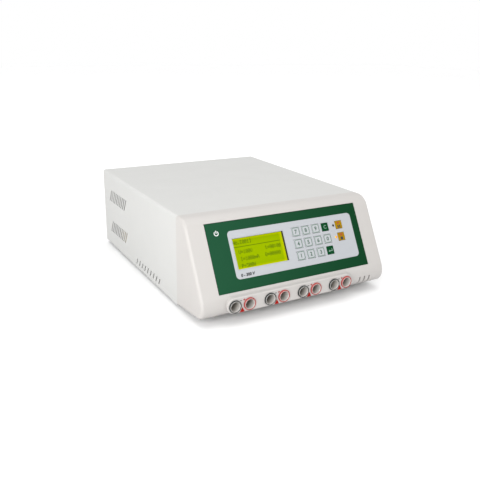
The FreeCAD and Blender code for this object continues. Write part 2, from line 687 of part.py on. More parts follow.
# status lamps: domed lens on a flanged body reaching the keypad board
for name, cx, ss in LEDS:
    r, top, bn = D("led_rad").v, 0.25, D("board_n").v
    s0 = turned([(0, -bn + 0.02), (1.9, -bn + 0.02), (1.9, -bn + 1.0), (r, -bn + 1.0), (r, -0.6), (r * 0.85, -0.1), (r * 0.5, top - 0.05), (0, top)], Vector(cx, -ss, 0), Z)
    shaped(in_panel(s0), name)

# =====================================================================
# Output sockets
# =====================================================================
sz = D("sock_z").v
front = -D("boss_out").v
face_y = front - D("collar_t").v
wd = D("well_deep").v
bk, rd, ins, con, nut = [], [], [], [], []
for i, xx in enumerate(SOCK_X):
    at = gv(xx, face_y, sz)
    ro, ri, ct = D("collar_rad").v, D("collar_in").v, D("collar_t").v
    (bk if i % 2 == 0 else rd).append(turned([(ri, 0.5), (ri + 0.25, 0), (ro - 0.4, 0), (ro, 0.4), (ro, ct - 0.02), (ri, ct - 0.02)], at, Y))
    wo, wi = D("well_out").v, D("well_in").v
    ins.append(turned([(wi, 0.3), (wi + 0.3, 0), (wo - 0.3, 0), (wo, 0.3), (wo, wd + 3.0), (D("pin_rad").v + 0.05, wd + 3.0), (D("pin_rad").v + 0.05, wd), (wi, wd)], at, Y))
    pr, pb, bl = D("pin_rad").v, D("pin_bore").v, D("bore_len").v
    y0 = wd + 2.0 - bl
    con.append(turned([(pb + 0.3, y0), (pr - 0.3, y0), (pr, y0 + 0.3), (pr, wd - 0.05), (pr, wd + 8.0), (1.6, wd + 8.0), (1.6, wd + 13.0), (0, wd + 13.0), (0, y0 + bl), (pb, y0 + bl), (pb, y0 + 0.3)], at, Y))
    hexa = Part.makePolygon([Vector(9.2 * math.cos(math.radians(60 * k + 30)), 9.2 * math.sin(math.radians(60 * k + 30)), 0) for k in range(7)])
    n0 = Part.Face(hexa).extrude(Vector(0, 0, 4.0)).cut(Part.makeCylinder(wo + 0.05, 6.0, Vector(0, 0, -1)))
    n0.Placement = Placement(gv(xx, 8.05, sz), Rotation(Z, Y))
    nut.append(n0)
shaped(Part.makeCompound(bk), "socket_collars_black")
shaped(Part.makeCompound(rd), "socket_collars_red")
shaped(Part.makeCompound(ins), "socket_insulators")
shaped(Part.makeCompound(con), "socket_contacts")
shaped(Part.makeCompound(nut), "socket_nuts")

# =====================================================================
# Inside the case
# =====================================================================
floor_z = tz + tt
board_z = floor_z + 8.0
b = body("main_board")
s = sketch(b, "XY_Plane", Placement(Vector(0, 0, board_z.v), Rotation()))
rect(s, -20.0, 95.0, 120.0, 315.0)
f = pad(b, s, D("board_t"))
s = sketch(b, "XY_Plane", Placement(Vector(0, 0, board_z.v - 1.0), Rotation()))
for xx in (-10.0, 110.0):
    for yy in (103.0, 205.0, 307.0):
        circle(s, xx, yy, 1.7)
f = pocket(b, s, 6.0)
b.Tip = f
place(b, G(0, 0, 0))
node(b, "main_board")

spots = [(xx, yy) for xx in (-10.0, 110.0) for yy in (103.0, 205.0, 307.0)]
node(group(*[cut(fuse(cyl(3.0, 7.96, (xx, yy, floor_z + 0.02)), cyl(1.65, 3.0, (xx, yy, tz))), cyl(1.6, 12.0, (xx, yy, floor_z + 1.5))) for xx, yy in spots]), "board_standoffs")
shaped(Part.makeCompound([screw(gv(xx, yy, (board_z + D("board_t")).v + 0.02), -Z, 2.8, 1.8, 1.5, 6.0) for xx, yy in spots]), "board_screws")

fz = floor_z.v + 0.02
core = Part.makeBox(56, 95, 70, gv(-125, 190, fz)).cut(Part.makeBox(57, 20, 42, gv(-125.5, 204, fz + 14))).cut(Part.makeBox(57, 20, 42, gv(-125.5, 251, fz + 14)))
shaped(core, "transformer_core")
coil = Part.makeBox(75, 66, 41.4, gv(-134.5 + 1.5, 204.5, fz + 14.3)).cut(Part.makeBox(76, 27.6, 43, gv(-135, 223.7, fz + 13.5)))
coil = Part.makeBox(74, 66, 41.4, gv(-132.5, 204.5, fz + 14.3))
limb = Part.makeBox(56.6, 27.6, 45, gv(-125.3, 223.7, fz + 12))
coil = coil.cut(limb)
coil = coil.makeFillet(1.5, [e for e in coil.Edges if along(e, Z) and e.BoundBox.XLength < 0.01 and (abs(e.BoundBox.XMin + 132.5) < 0.01 or abs(e.BoundBox.XMin + 58.5) < 0.01)])
shaped(coil, "transformer_coil")

hs = Part.makeBox(6, 190, 60, gv(-34, 110, fz))
for k in range(9):
    hs = hs.fuse(Part.makeBox(20, 190, 1.6, gv(-53.5, 110, fz + 2 + 7.0 * k)))
shaped(hs.removeSplitter(), "heatsink")
pt = []
for yy in (130, 165, 200, 235):
    pt.append(Part.makeBox(4.6, 16, 20, gv(-27.96, yy, fz + 22)).fuse(Part.makeBox(1.0, 12, 12, gv(-26.5, yy + 2, fz + 10.5))))
shaped(Part.makeCompound(pt), "power_transistors")
bt = (board_z + D("board_t")).v + 0.02
shaped(Part.makeCompound([turned([(0, 0), (14.5, 0), (15, 0.5), (15, 5.0), (14.4, 5.6), (15, 6.2), (15, 39.5), (14.2, 40.3), (0, 40.3)], gv(xx, yy, bt), Z) for xx, yy in ((12, 285), (48, 285), (84, 285))]), "capacitors")
ch = Part.makeTorus(12, 5.5, gv(88, 160, bt + 5.5), Z)
shaped(ch, "choke")
tb = Part.makeBox(86.5, 12, 14, gv(-6.5, 98, bt))
for k in range(8):
    tb = tb.cut(Part.makeCylinder(1.9, 7, gv(-3.0 + 11.0 * k, 97.5, bt + 5), Y))
shaped(tb, "terminal_block")

leads = []
for i, xx in enumerate(SOCK_X):
    a = gv(xx, face_y + wd + 13.2, sz)
    e = gv(-3.0 + 11.0 * i, 103.8, bt + 5)
    a2, e2 = a + Vector(0, 6, 0), e - Vector(0, 8, 0)
    c1, c2 = a2 + Vector(0, 12, 0), e2 - Vector(0, 12, 0)
    bez = Part.BezierCurve()
    bez.setPoles([a2, c1, c2, e2])
    wire = Part.Wire([Part.makeLine(a, a2), bez.toShape(), Part.makeLine(e2, e)])
    prof = Part.Wire([Part.makeCircle(1.6, a, Y)])
    leads.append(wire.makePipeShell([prof], True, True))
shaped(Part.makeCompound(leads), "output_leads")

rib = Part.Face(Part.makePolygon([gv(20, y_, z_) for y_, z_ in ((40.5, 56.0), (45.0, 53.0), (60.0, 44.0), (86.0, 30.0), (92.0, 22.0), (92.0, bt + 0.5), (91.1, bt + 0.5), (91.1, 21.8), (85.4, 29.2), (59.4, 43.2), (44.4, 52.2), (40.0, 55.2), (40.5, 56.0))])).extrude(Vector(26, 0, 0))
hdr = Part.makeBox(28, 5, 7, gv(19, 111.5, bt))
rib = Part.Face(Part.makePolygon([gv(20, y_, z_) for y_, z_ in ((45.0, 53.0), (60.0, 46.0), (90.0, 46.0), (112.0, 40.0), (114.5, 34.0), (114.5, bt), (113.5, bt), (113.5, 33.8), (111.4, 39.0), (89.9, 45.0), (59.8, 45.0), (44.6, 52.1), (45.0, 53.0))])).extrude(Vector(26, 0, 0))
shaped(rib, "ribbon_cable")

# =====================================================================
# Rear: fan, inlet, switch, earth post
# =====================================================================
fy1 = (ry - 0.02).v
fy0 = fy1 - D("fan_t").v
fx, fzc, fw2 = D("fan_x").v, D("fan_z").v, D("fan_w").v / 2
fr = Part.makeBox(80, D("fan_t").v, 80, gv(fx - fw2, fy0, fzc - fw2))
fr = fr.makeFillet(4.0, [e for e in fr.Edges if along(e, Y)])
fr = fr.cut(Part.makeCylinder(D("fan_bore").v, 30, gv(fx, fy0 - 1, fzc), Y))
for sx in (-1, 1):
    for s2 in (-1, 1):
        fr = fr.cut(Part.makeCylinder(2.1, 30, gv(fx + sx * D("fan_pitch").v / 2, fy0 - 1, fzc + s2 * D("fan_pitch").v / 2), Y))
spider = Part.makeCylinder(15.0, 3.0, gv(fx, fy0, fzc), Y)
for k in range(4):
    arm = Part.makeBox(4, 2.6, 38.5, Vector(-2, 0, 0))
    arm.rotate(Vector(0, 0, 0), Y, 45 + 90 * k)
    arm.translate(gv(fx, fy0, fzc))
    spider = spider.fuse(arm)
post = Part.makeCylinder(1.5, 16.0, gv(fx, fy0 + 1.0, fzc), Y)
fr = fr.fuse(spider.common(Part.makeCylinder(39.0, 4, gv(fx, fy0 - 0.5, fzc), Y))).fuse(post).removeSplitter()
shaped(fr, "fan_frame")

hub = Part.makeCylinder(16.0, 19.0, gv(fx, fy0 + 4.0, fzc), Y)
hub = hub.makeFillet(1.2, [e for e in hub.Edges if e.Curve.TypeId == "Part::GeomCircle" and e.CenterOfMass.y > gv(0, fy0 + 10, 0).y])
rot = hub
for k in range(7):
    inner = Part.makePolygon([Vector(0, -1.0, 0), Vector(0, 1.0, 0), Vector(13, 1.0, 0), Vector(13, -1.0, 0), Vector(0, -1.0, 0)])
    sec = []
    for r, pitch_deg, chord in ((15.2, 52.0, 15.0), (26.0, 40.0, 20.0), (36.6, 30.0, 25.0)):
        pts = [Vector(-chord / 2, -0.6, 0), Vector(0, -1.4, 0), Vector(chord / 2, -0.5, 0), Vector(chord / 2, 0.5, 0), Vector(0, 0.2, 0), Vector(-chord / 2, 0.6, 0)]
        wr = Part.makePolygon(pts + [pts[0]])
        wr.rotate(Vector(0, 0, 0), Z, pitch_deg)
        wr.translate(Vector(0, 0, r))
        sec.append(wr)
    bl_ = Part.makeLoft(sec, True, True)
    bl_ = bl_.common(Part.makeBox(60, 18.0, 60, Vector(-30, -9.0, 0)))
    bl_.rotate(Vector(0, 0, 0), Y, 360.0 / 7 * k)
    bl_.translate(gv(fx, fy0 + 13.5, fzc))
    rot = rot.fuse(bl_)
rot = rot.common(Part.makeCylinder(37.2, 19.4, gv(fx, fy0 + 3.9, fzc), Y))
rot = rot.cut(Part.makeCylinder(1.55, 13.6, gv(fx, fy0 + 3.8, fzc), Y))
shaped(rot, "fan_rotor")

gy = D("case_d").v - 0.3
rings = [Part.makeTorus(r, 0.9, gv(fx, gy + 1.85, fzc), Y) for r in (37.0, 29.0, 21.0, 13.0)]
bars, ears = [], []
for k in range(4):
    bar = Part.makeCylinder(0.7, 36.6, Vector(0, 0, 11.0), Z)
    bar.rotate(Vector(0, 0, 0), Y, 45 + 90 * k)
    bar.translate(gv(fx, gy + 0.8, fzc))
    bars.append(bar)
for sx in (-1, 1):
    for s2 in (-1, 1):
        ec = gv(fx + sx * D("fan_pitch").v / 2, gy, fzc + s2 * D("fan_pitch").v / 2)
        ears.append(Part.makeCylinder(4.0, 1.6, ec + Vector(0, 0.05, 0), Y).cut(Part.makeCylinder(2.1, 6, ec - Vector(0, 1, 0), Y)))
gd = rings[0].multiFuse(rings[1:] + bars).multiFuse(ears)
shaped(gd, "fan_guard")
shaped(Part.makeCompound([screw(gv(fx + sx * D("fan_pitch").v / 2, gy + 1.67, fzc + s2 * D("fan_pitch").v / 2), -Y, 3.2, 1.6, 1.9, 12.0) for sx in (-1, 1) for s2 in (-1, 1)]), "fan_screws")

# mains inlet with a fuse drawer below the socket
ix, iz, rear_y = D("inlet_x").v, D("inlet_z").v, D("case_d").v - 0.3
inl = Part.makeBox(28, 24, 30, gv(ix - 14, rear_y - 23.98, iz - 16))
fl = Part.makeBox(46, 2.6, 34, gv(ix - 23, rear_y + 0.02, iz - 18))
fl = fl.makeFillet(3.0, [e for e in fl.Edges if along(e, Y)])
inl = inl.fuse(fl)
cav = Part.makeBox(24.6, 17.0, 16.6, gv(ix - 12.3, rear_y - 14.3, iz - 5.0))
cav = cav.makeChamfer(3.5, [e for e in cav.Edges if along(e, Y) and e.BoundBox.ZMax > gv(0, 0, iz + 11).z])
inl = inl.cut(cav)
inl = inl.cut(Part.makeBox(22.4, 30, 6.8, gv(ix - 11.2, rear_y - 19.0, iz - 14.4)))
for sx in (-1, 1):
    inl = inl.cut(Part.makeCylinder(1.7, 8, gv(ix + 20 * sx * 0.925, rear_y - 3, iz - 1), Y))
shaped(inl.removeSplitter(), "mains_inlet")
pins = []
for px, pz in ((-7.0, 1.3), (7.0, 1.3), (0.0, 5.3)):
    p_ = Part.makeBox(2.0, 25.0, 4.0, gv(ix + px - 1.0, rear_y - 30.0, iz + pz - 0.6))
    p_ = p_.makeChamfer(0.5, [e for e in p_.Edges if e.BoundBox.YMin > gv(0, rear_y - 5.1, 0).y])
    pins.append(p_)
inl2 = NODES["mains_inlet"].Shape
for p_ in pins:
    bb = p_.BoundBox
    inl2 = inl2.cut(Part.makeBox(bb.XLength + 0.04, bb.YLength + 2, bb.ZLength + 0.04, Vector(bb.XMin - 0.02, bb.YMin - 1, bb.ZMin - 0.02)))
NODES["mains_inlet"].Shape = inl2
shaped(Part.makeCompound(pins), "inlet_pins")
dr = Part.makeBox(21.6, 18.5, 6.0, gv(ix - 10.8, rear_y - 15.7, iz - 14.0))
dr = dr.cut(Part.makeBox(18.0, 12.0, 4.0, gv(ix - 9.0, rear_y - 13.5, iz - 11.8)))
lip = Part.makeBox(24.0, 1.6, 8.4, gv(ix - 12.0, rear_y + 2.8, iz - 15.2))
lip = lip.makeFillet(0.6, [e for e in lip.Edges if e.BoundBox.YMin > gv(0, rear_y + 4.3, 0).y])
shaped(dr.fuse(lip).removeSplitter(), "fuse_drawer")

# mains switch: snap-in housing and a rocker on stub pivots
wx, wz = D("switch_x").v, D("switch_z").v
hou = Part.makeBox(14.4, 14.5, 24.0, gv(wx - 7.2, rear_y - 14.0, wz - 12.0))
hf = Part.makeBox(17.6, 2.0, 28.0, gv(wx - 8.8, rear_y + 0.02, wz - 14.0))
hf = hf.makeFillet(1.5, [e for e in hf.Edges if along(e, Y)])
hou = hou.fuse(hf).cut(Part.makeBox(11.4, 12.0, 21.8, gv(wx - 5.7, rear_y - 8.6, wz - 10.9)))
hou = hou.cut(Part.makeCylinder(1.55, 13.8, gv(wx - 6.9, rear_y - 1.0, wz), X))
shaped(hou.removeSplitter(), "switch_housing")
prof = [(-9.2, 5.2), (0, 3.6), (9.2, 5.2), (9.2, -1.0), (4.0, -5.0), (-4.0, -5.0), (-9.2, -1.0)]
rk = Part.Face(Part.makePolygon([Vector(-5.3, y_, z_) for z_, y_ in prof + [prof[0]]])).extrude(Vector(10.6, 0, 0))
rk = rk.makeFillet(0.5, [e for e in rk.Edges if abs(e.BoundBox.YMin - 5.2) < 0.3 and along(e, X)])
rk = rk.fuse(Part.makeCylinder(1.5, 13.2, Vector(-6.6, 0, 0), X)).removeSplitter()
rk.rotate(Vector(0, 0, 0), X, D("rocker_tilt").v)
rk.translate(gv(wx, rear_y - 1.0, wz))
shaped(rk, "switch_rocker")

ex, ez = D("earth_x").v, D("earth_z").v
post = turned([(0, -9.0), (2.0, -9.0), (2.0, -1.6), (4.2, -1.6), (4.2, -1.5 - 0.04), (2.0, -1.54), (2.0, 0.04), (4.5, 0.04), (4.5, 1.4), (2.0, 1.4), (2.0, 2.0), (4.6, 2.0), (5.0, 2.5), (5.0, 3.4), (4.6, 4.0), (0, 4.0)], gv(ex, rear_y, ez), Y)
shaped(post, "earth_terminal")

# =====================================================================
# Check and export
# =====================================================================
doc.recompute()
bad = [o.Name for o in doc.Objects if "Invalid" in o.State or "Error" in o.State]
if bad:
    raise RuntimeError("objects failed: " + ", ".join(bad))
os.makedirs("parts", exist_ok=True)
for name, o in NODES.items():
    if o.Shape.isNull() or not o.Shape.isValid() or not o.Shape.Solids:
        raise RuntimeError("bad shape in " + name)
for name, o in NODES.items():
    o.Shape.exportStep("parts/%s.step" % name)
print("wrote", len(NODES), "parts")
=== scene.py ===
import json
import math
import bpy
import bmesh
from mathutils import Matrix, Vector


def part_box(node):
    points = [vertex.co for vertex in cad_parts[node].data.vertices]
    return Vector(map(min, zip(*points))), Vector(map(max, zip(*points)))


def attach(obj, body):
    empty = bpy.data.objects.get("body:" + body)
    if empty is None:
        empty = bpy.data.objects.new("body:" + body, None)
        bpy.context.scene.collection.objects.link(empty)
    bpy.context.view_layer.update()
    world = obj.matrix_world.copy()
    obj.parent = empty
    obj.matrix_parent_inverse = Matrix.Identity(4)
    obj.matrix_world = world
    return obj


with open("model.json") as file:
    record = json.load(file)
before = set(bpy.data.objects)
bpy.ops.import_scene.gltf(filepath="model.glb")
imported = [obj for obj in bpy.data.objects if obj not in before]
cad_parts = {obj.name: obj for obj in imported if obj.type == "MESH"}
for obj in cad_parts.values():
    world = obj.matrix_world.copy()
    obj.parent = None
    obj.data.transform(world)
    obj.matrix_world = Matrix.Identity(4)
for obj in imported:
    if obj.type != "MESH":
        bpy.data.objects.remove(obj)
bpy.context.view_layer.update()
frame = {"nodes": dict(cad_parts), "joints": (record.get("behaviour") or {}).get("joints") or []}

N = frame["nodes"]
MM = 0.001


# ------------------------------------------------------------------ node helpers
def new_mat(name):
    m = bpy.data.materials.new(name)
    m.use_nodes = True
    nt = m.node_tree
    nt.nodes.clear()
    out = nt.nodes.new("ShaderNodeOutputMaterial")
    bs = nt.nodes.new("ShaderNodeBsdfPrincipled")
    nt.links.new(bs.outputs["BSDF"], out.inputs["Surface"])
    return m, nt, bs


def coords(nt):
    return nt.nodes.new("ShaderNodeTexCoord").outputs["Object"]


def noise(nt, vec, scale, detail=3.0, rough=0.55, distortion=0.0):
    n = nt.nodes.new("ShaderNodeTexNoise")
    n.inputs["Scale"].default_value = scale
    n.inputs["Detail"].default_value = detail
    n.inputs["Roughness"].default_value = rough
    n.inputs["Distortion"].default_value = distortion
    nt.links.new(vec, n.inputs["Vector"])
    return n.outputs["Fac"]


def voronoi(nt, vec, scale, feature="F1"):
    n = nt.nodes.new("ShaderNodeTexVoronoi")
    n.feature = feature
    n.inputs["Scale"].default_value = scale
    nt.links.new(vec, n.inputs["Vector"])
    return n.outputs["Distance"]


def ramp(nt, fac, lo, hi, p0=0.0, p1=1.0):
    r = nt.nodes.new("ShaderNodeMapRange")
    r.inputs["From Min"].default_value = p0
    r.inputs["From Max"].default_value = p1
    r.inputs["To Min"].default_value = lo
    r.inputs["To Max"].default_value = hi
    nt.links.new(fac, r.inputs["Value"])
    return r.outputs["Result"]


def mix(nt, fac, a, b, kind="MIX"):
    m = nt.nodes.new("ShaderNodeMix")
    m.data_type = "RGBA"
    m.blend_type = kind
    for key, val in (("Factor", fac), ("A", a), ("B", b)):
        sock = [s for s in m.inputs if s.name == key and s.type == ("VALUE" if key == "Factor" else "RGBA")][0]
        if hasattr(val, "is_linked") or isinstance(val, bpy.types.NodeSocket):
            nt.links.new(val, sock)
        elif key == "Factor":
            sock.default_value = val
        else:
            sock.default_value = (*val, 1.0) if len(val) == 3 else val
    return [s for s in m.outputs if s.type == "RGBA"][0]


def math_node(nt, op, a, b=None):
    m = nt.nodes.new("ShaderNodeMath")
    m.operation = op
    for i, v in enumerate((a, b)):
        if v is None:
            continue
        if isinstance(v, bpy.types.NodeSocket):
            nt.links.new(v, m.inputs[i])
        else:
            m.inputs[i].default_value = v
    return m.outputs[0]


def bump(nt, bs, height, strength, distance, normal=None):
    b = nt.nodes.new("ShaderNodeBump")
    b.inputs["Strength"].default_value = strength
    b.inputs["Distance"].default_value = distance
    nt.links.new(height, b.inputs["Height"])
    if normal is not None:
        nt.links.new(normal, b.inputs["Normal"])
    if bs is not None:
        nt.links.new(b.outputs["Normal"], bs.inputs["Normal"])
    return b.outputs["Normal"]


def surface(name, colour, rough=0.5, metal=0.0, spread=0.03, grain=(2500.0, 0.15, 0.00008), rough_var=0.06, blot=9.0,
            edge=None, coat=0.0, spec=0.5, emit=None, emit_strength=0.0, peel=None):
    """Principled material with fine grain relief, slow colour drift, roughness variation and optional lighter edges,
    partly rubbed wear and partly a painted highlight.
    """
    m, nt, bs = new_mat(name)
    vec = coords(nt)
    slow = noise(nt, vec, blot, 4.0, 0.6)
    lo = tuple(max(0.0, c * (1 - spread)) for c in colour)
    hi = tuple(min(1.0, c * (1 + spread)) for c in colour)
    col = mix(nt, slow, lo, hi)
    fine = noise(nt, vec, grain[0], 3.0, 0.6)
    col = mix(nt, ramp(nt, fine, 0.0, spread * 1.2, 0.35, 0.75), col, tuple(c * 0.6 for c in colour))
    if edge is not None:
        # convex edges painted lighter: part rubbed wear, part a painted highlight along the rounded edges
        geo = nt.nodes.new("ShaderNodeNewGeometry")
        point = ramp(nt, geo.outputs["Pointiness"], 0.0, 1.0, 0.53, 0.62)
        edge_wear_and_highlight = math_node(nt, "MULTIPLY", point, ramp(nt, noise(nt, vec, 260.0, 4.0), 0.0, edge[1], 0.35, 0.7))
        col = mix(nt, edge_wear_and_highlight, col, edge[0])
    nt.links.new(col, bs.inputs["Base Color"])
    rr = ramp(nt, noise(nt, vec, blot * 5.0, 5.0), max(0.02, rough - rough_var), min(1.0, rough + rough_var), 0.3, 0.7)
    nt.links.new(rr, bs.inputs["Roughness"])
    bs.inputs["Metallic"].default_value = metal
    bs.inputs["Specular IOR Level"].default_value = spec
    if coat:
        bs.inputs["Coat Weight"].default_value = coat
        bs.inputs["Coat Roughness"].default_value = 0.12
    if emit is not None:
        bs.inputs["Emission Color"].default_value = (*emit, 1.0)
        bs.inputs["Emission Strength"].default_value = emit_strength
    nrm = None
    if peel is not None:
        nrm = bump(nt, None, noise(nt, vec, peel[0], 2.0, 0.5), peel[1], peel[2])
    bump(nt, bs, fine, grain[1], grain[2], nrm)
    return m


def brushed(name, colour, rough=0.32, axis="X", scale=900.0, strength=0.12):
    """Sheet or turned metal with drawn lines along one axis."""
    m, nt, bs = new_mat(name)
    vec = coords(nt)
    mp = nt.nodes.new("ShaderNodeMapping")
    s = {"X": (0.02, 1, 1), "Y": (1, 0.02, 1), "Z": (1, 1, 0.02)}[axis]
    mp.inputs["Scale"].default_value = s
    nt.links.new(vec, mp.inputs["Vector"])
    lines = noise(nt, mp.outputs["Vector"], scale, 4.0, 0.65)
    blotch = noise(nt, vec, 40.0, 5.0, 0.6)
    col = mix(nt, ramp(nt, blotch, 0.0, 1.0, 0.3, 0.7), tuple(c * 0.86 for c in colour), tuple(min(1, c * 1.05) for c in colour))
    nt.links.new(col, bs.inputs["Base Color"])
    nt.links.new(ramp(nt, lines, rough - 0.08, rough + 0.12, 0.3, 0.7), bs.inputs["Roughness"])
    bs.inputs["Metallic"].default_value = 1.0
    bump(nt, bs, lines, strength, 0.00005)
    return m


# ------------------------------------------------------------------ materials
M = {}
M["cover"] = surface("powder_coat", (0.425, 0.425, 0.414), rough=0.50, spread=0.006, grain=(2600.0, 0.12, 0.00004), peel=(700.0, 0.05, 0.00006), rough_var=0.04, blot=5.0, edge=((0.50, 0.50, 0.49), 0.12), spec=0.35)
M["bezel"] = surface("moulded_shell", (0.390, 0.374, 0.360), rough=0.44, spread=0.008, grain=(3200.0, 0.14, 0.00004), peel=(900.0, 0.04, 0.00006), rough_var=0.04, blot=6.0, edge=((0.47, 0.455, 0.44), 0.15), spec=0.40)
m, nt, bs = new_mat("green_film")
vec = coords(nt)
film_lo, film_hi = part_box("panel_overlay")
sep = nt.nodes.new("ShaderNodeSeparateXYZ")
nt.links.new(vec, sep.inputs[0])
# painted highlight: the film's colour runs from lighter at its left end to darker at the right, standing in for a broad
# lamp sheen across it
painted_sheen_x = math_node(nt, "ADD", sep.outputs["X"], math_node(nt, "MULTIPLY", noise(nt, vec, 14.0, 4.0), 0.012))
col = mix(nt, ramp(nt, painted_sheen_x, 0.0, 1.0, film_lo.x, film_hi.x), (0.0086, 0.0550, 0.0250), (0.0016, 0.0335, 0.0100))
fine = noise(nt, vec, 4200.0, 3.0, 0.6)
col = mix(nt, ramp(nt, fine, 0.0, 0.05, 0.35, 0.75), col, (0.0015, 0.026, 0.009))
nt.links.new(col, bs.inputs["Base Color"])
nt.links.new(ramp(nt, noise(nt, vec, 70.0, 5.0), 0.39, 0.45, 0.3, 0.7), bs.inputs["Roughness"])
bs.inputs["Specular IOR Level"].default_value = 0.05
bump(nt, bs, fine, 0.16, 0.00004)
M["green"] = m
M["grey"] = surface("grey_film", (0.332, 0.343, 0.361), rough=0.40, spread=0.012, grain=(4200.0, 0.14, 0.00004), rough_var=0.05, blot=14.0, spec=0.25)
M["key"] = surface("key_film", (0.334, 0.347, 0.360), rough=0.40, spread=0.012, grain=(4200.0, 0.14, 0.00004), rough_var=0.05, blot=30.0, spec=0.25)
M["key_green"] = surface("key_green_film", (0.0010, 0.042, 0.0115), rough=0.42, spread=0.05, grain=(4200.0, 0.14, 0.00004), rough_var=0.05, blot=30.0, spec=0.04)
M["key_ochre"] = surface("key_ochre_film", (0.262, 0.150, 0.0006), rough=0.45, spread=0.04, grain=(4200.0, 0.14, 0.00004), rough_var=0.05, blot=30.0, spec=0.03)
M["ring_ink"] = surface("ring_ink", (0.105, 0.165, 0.130), rough=0.45, spread=0.05, grain=(5200.0, 0.1, 0.00002), blot=60.0)
M["digit_ink"] = surface("digit_ink", (0.036, 0.078, 0.054), rough=0.45, spread=0.05, grain=(5200.0, 0.1, 0.00002), blot=60.0)
M["pale_ink"] = surface("pale_green_ink", (0.170, 0.270, 0.210), rough=0.42, spread=0.03, grain=(5200.0, 0.1, 0.00002), blot=60.0, spec=0.2)
# painted shadow colour for the strip along the green film's recess edges
M["edge_ink"] = surface("painted_recess_shadow_film", (0.0015, 0.006, 0.004), rough=0.5, spread=0.05, grain=(5200.0, 0.1, 0.00002), blot=60.0, spec=0.1)
M["white_ink"] = surface("white_ink", (0.62, 0.64, 0.63), rough=0.42, spread=0.02, grain=(5200.0, 0.1, 0.00002), blot=60.0)
M["dark_ink"] = surface("dark_ink", (0.010, 0.010, 0.012), rough=0.45, spread=0.08, grain=(5200.0, 0.1, 0.00002), blot=60.0)
M["red_ink"] = surface("red_ink", (0.250, 0.004, 0.001), rough=0.42, spread=0.06, grain=(5200.0, 0.1, 0.00002), blot=60.0, spec=0.12)
M["rust_ink"] = surface("rust_ink", (0.260, 0.018, 0.002), rough=0.45, spread=0.06, grain=(5200.0, 0.1, 0.00002), blot=60.0)
M["plate"] = brushed("plate_aluminium", (0.74, 0.75, 0.76), 0.34, "X")
M["zinc"] = brushed("zinc_sheet", (0.60, 0.62, 0.63), 0.36, "X", 500.0)
M["steel"] = brushed("screw_steel", (0.62, 0.63, 0.64), 0.28, "Z", 1600.0)
M["alu"] = brushed("heatsink_aluminium", (0.66, 0.67, 0.68), 0.36, "Y", 700.0)
M["brass"] = brushed("brass", (0.72, 0.52, 0.22), 0.24, "Y", 1800.0)
M["tin"] = brushed("tinned_blade", (0.70, 0.70, 0.68), 0.26, "Y", 1800.0)
M["chrome"] = brushed("plated_wire", (0.74, 0.75, 0.76), 0.16, "Y", 2200.0, 0.05)
M["rubber"] = surface("foot_rubber", (0.022, 0.022, 0.023), rough=0.72, spread=0.10, grain=(1400.0, 0.35, 0.00012), blot=60.0, edge=((0.07, 0.07, 0.07), 0.5))
M["black"] = surface("black_moulding", (0.016, 0.016, 0.018), rough=0.42, spread=0.10, grain=(2600.0, 0.25, 0.00006), blot=50.0, edge=((0.05, 0.05, 0.052), 0.5))
M["collar_black"] = surface("collar_charcoal", (0.012, 0.015, 0.015), rough=0.36, spread=0.06, grain=(3000.0, 0.12, 0.00004), blot=60.0, edge=((0.05, 0.055, 0.055), 0.5), spec=0.25)
M["collar_red"] = surface("collar_red", (0.300, 0.030, 0.027), rough=0.36, spread=0.05, grain=(3000.0, 0.12, 0.00004), blot=60.0, edge=((0.38, 0.055, 0.05), 0.3), spec=0.25)
m, nt, bs = new_mat("socket_well")
vec = coords(nt)
well_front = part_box("socket_insulators")[0].y
sep = nt.nodes.new("ShaderNodeSeparateXYZ")
nt.links.new(vec, sep.inputs[0])
# painted shade: the well walls darken deeper into the socket, where less light reaches
well_shade_depth = math_node(nt, "ADD", sep.outputs["Y"], math_node(nt, "MULTIPLY", noise(nt, vec, 500.0), 0.0006))
col = mix(nt, ramp(nt, well_shade_depth, 0.0, 1.0, well_front + 0.002, well_front + 0.016), (0.480, 0.460, 0.435), (0.200, 0.182, 0.155))
fine = noise(nt, vec, 2400.0, 3.0, 0.6)
col = mix(nt, ramp(nt, fine, 0.0, 0.03, 0.35, 0.75), col, (0.26, 0.25, 0.23))
nt.links.new(col, bs.inputs["Base Color"])
nt.links.new(ramp(nt, noise(nt, vec, 300.0, 5.0), 0.32, 0.42, 0.3, 0.7), bs.inputs["Roughness"])
bump(nt, bs, fine, 0.10, 0.00004)
M["well"] = m
M["nylon"] = surface("nylon", (0.66, 0.65, 0.61), rough=0.5, spread=0.03, blot=60.0)
M["board"] = surface("solder_mask", (0.012, 0.120, 0.045), rough=0.30, spread=0.10, grain=(700.0, 0.2, 0.00008), blot=120.0, coat=0.3)
M["core"] = brushed("laminations", (0.26, 0.26, 0.28), 0.42, "Z", 1800.0, 0.5)
M["tape"] = surface("coil_tape", (0.70, 0.50, 0.06), rough=0.32, spread=0.08, grain=(900.0, 0.2, 0.00008), blot=60.0, coat=0.4)
M["can"] = surface("can_sleeve", (0.012, 0.022, 0.075), rough=0.30, spread=0.08, blot=60.0, coat=0.4)
M["ferrite"] = surface("ferrite", (0.06, 0.06, 0.065), rough=0.55, spread=0.12, grain=(1800.0, 0.4, 0.00015), blot=80.0)
M["terminal"] = surface("terminal_green", (0.030, 0.230, 0.100), rough=0.40, spread=0.06, blot=60.0)
M["lead"] = surface("lead_silicone", (0.360, 0.025, 0.020), rough=0.5, spread=0.08, blot=60.0)
M["ribbon"] = surface("ribbon", (0.42, 0.43, 0.45), rough=0.42, spread=0.04, blot=60.0)
M["led_off"] = surface("lamp_off", (0.020, 0.018, 0.020), rough=0.20, spread=0.05, blot=200.0, spec=0.2)
m, nt, bs = new_mat("lamp_on")
vec = coords(nt)
lamp_lo, lamp_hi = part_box("led_active")
sep = nt.nodes.new("ShaderNodeSeparateXYZ")
nt.links.new(vec, sep.inputs[0])
